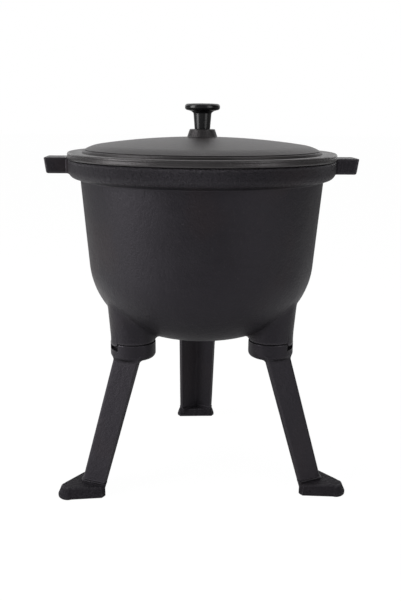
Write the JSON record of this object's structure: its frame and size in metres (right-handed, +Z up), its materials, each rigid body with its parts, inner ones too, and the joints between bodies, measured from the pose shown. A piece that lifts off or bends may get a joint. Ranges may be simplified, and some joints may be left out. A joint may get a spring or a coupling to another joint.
{
  "type": "cauldron",
  "caption": "Lidded cast-iron cauldron with a domed lid, screwed-on knob, solid rim tabs for handles and bolt-on splayed legs, for cooking over an open fire.",
  "frame": {"origin": "on the pot's axis at the level of the floor that the feet stand on", "axes": "+Z up along the pot's axis, the handles along X, one leg straight back along +Y"},
  "size_m": [0.3304, 0.3166, 0.4053],
  "materials": {
    "pot_iron": "matte, sand-cast",
    "lid_iron": "matte, sand-cast",
    "leg_iron": "matte, sand-cast",
    "knob_enamel": "glossy black",
    "zinc_steel": "zinc plated"
  },
  "bodies": {
    "pot": {"pot": "pot_iron", "leg_rear": "leg_iron", "leg_left": "leg_iron", "leg_right": "leg_iron", "leg_bolt_rear": "zinc_steel", "leg_bolt_left": "zinc_steel", "leg_bolt_right": "zinc_steel", "leg_washer_rear": "zinc_steel", "leg_washer_left": "zinc_steel", "leg_washer_right": "zinc_steel", "spring_washer_rear": "zinc_steel", "spring_washer_left": "zinc_steel", "spring_washer_right": "zinc_steel"},
    "lid": {"lid": "lid_iron", "knob": "knob_enamel", "knob_screw": "zinc_steel", "knob_washer": "zinc_steel"}
  },
  "joints": [
    {"name": "lid_lift", "type": "slide", "parent": "pot", "child": "lid", "axis": [0, 0, 1], "range_m": [0, 0.15]}
  ]
}
